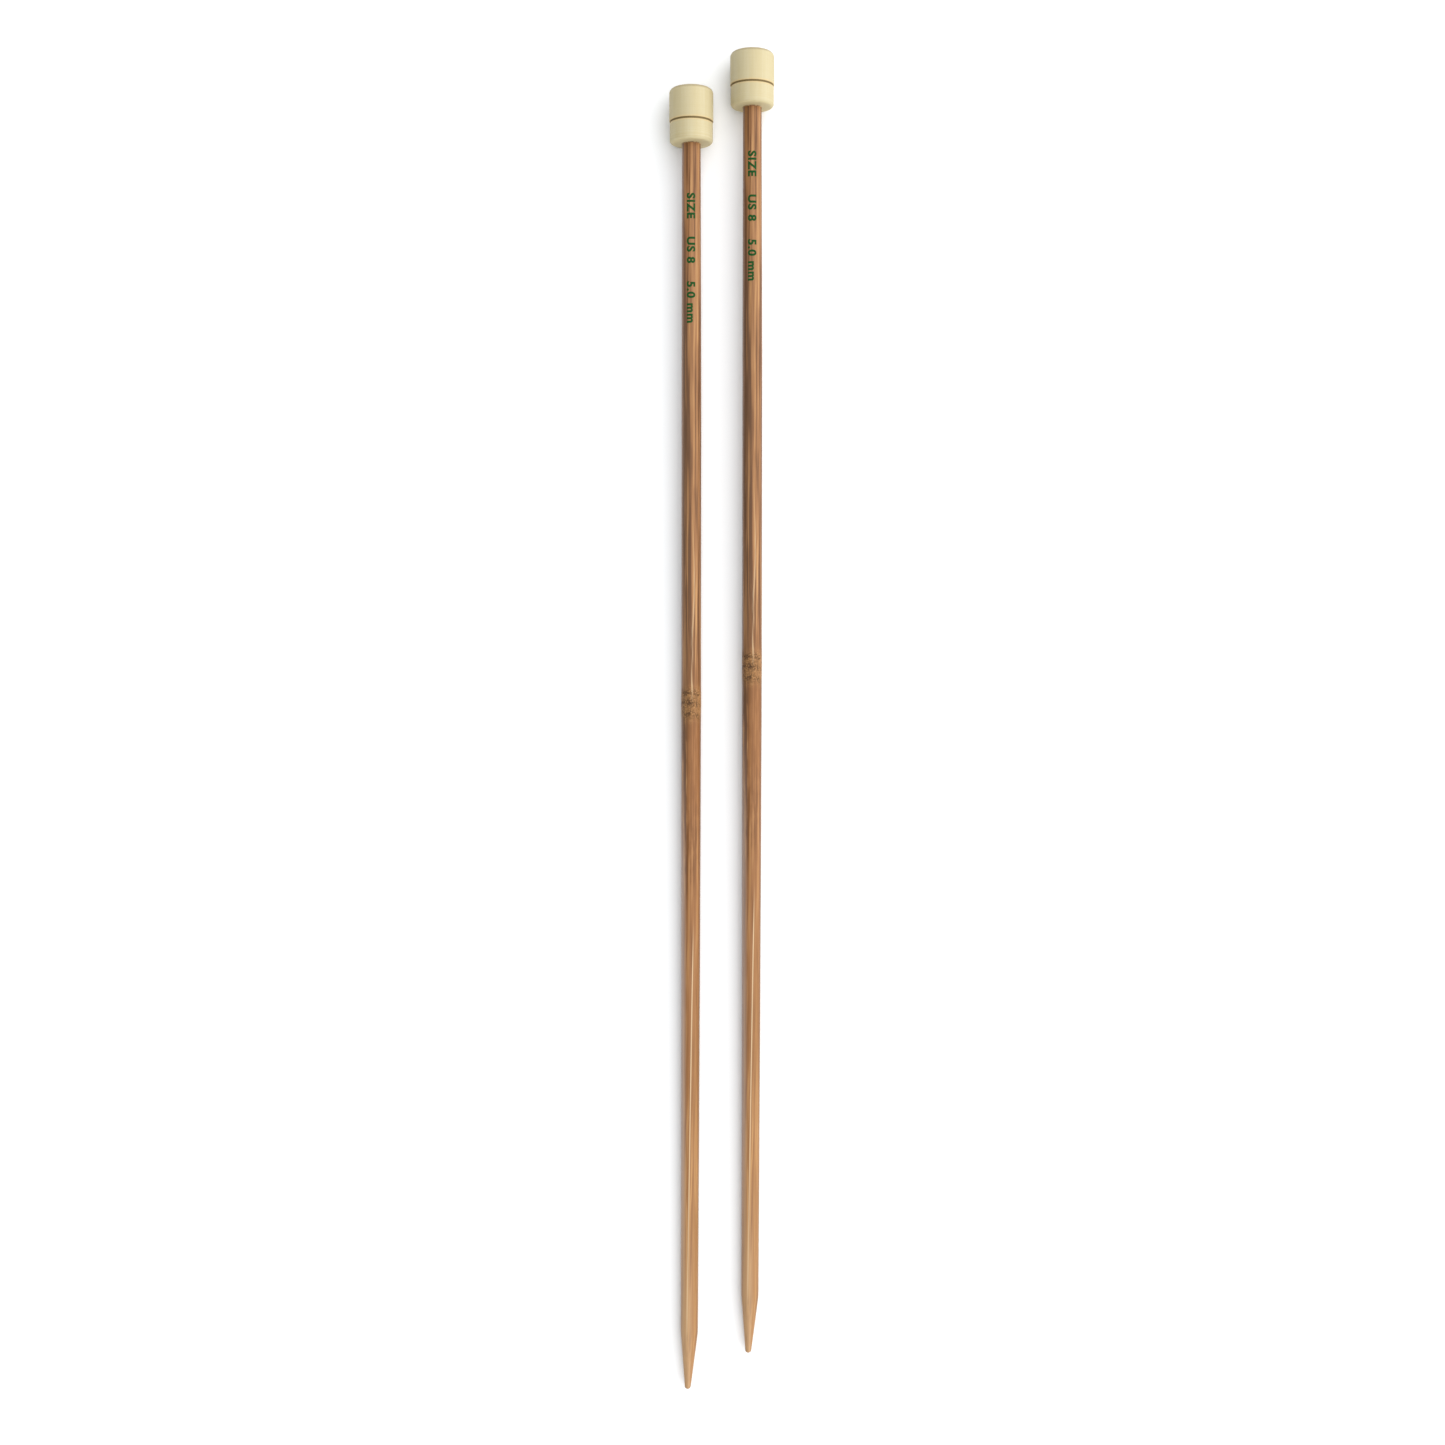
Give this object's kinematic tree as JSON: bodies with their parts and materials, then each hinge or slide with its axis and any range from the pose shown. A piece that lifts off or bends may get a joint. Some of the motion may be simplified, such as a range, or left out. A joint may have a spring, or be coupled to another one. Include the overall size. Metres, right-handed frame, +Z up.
{
  "type": "straight knitting needles",
  "caption": "Straight single-pointed bamboo knitting needles with turned, grooved wooden end knobs, for hand knitting flat fabric.",
  "frame": {"origin": "bottom centre of the pair's box, on the surface that the needles lie on", "axes": "+Y along the needles towards the knobs, +X from the left needle to the right one, +Z up"},
  "size_m": [0.0266, 0.3392, 0.0112],
  "materials": {
    "bamboo_shaft": "oiled, satin",
    "turned_knob": "bare, matte",
    "cured_glue": "translucent, dull",
    "size_mark_ink": "flat printing ink"
  },
  "bodies": {
    "left_needle": {"left_shaft": "bamboo_shaft", "left_knob": "turned_knob", "left_glue": "cured_glue"},
    "right_needle": {"right_shaft": "bamboo_shaft", "right_knob": "turned_knob", "right_glue": "cured_glue"}
  },
  "joints": [
    {"name": "right_needle_lift", "type": "slide", "parent": "left_needle", "child": "right_needle", "axis": [0, 0, 1], "range_m": [0, 0.1]}
  ]
}
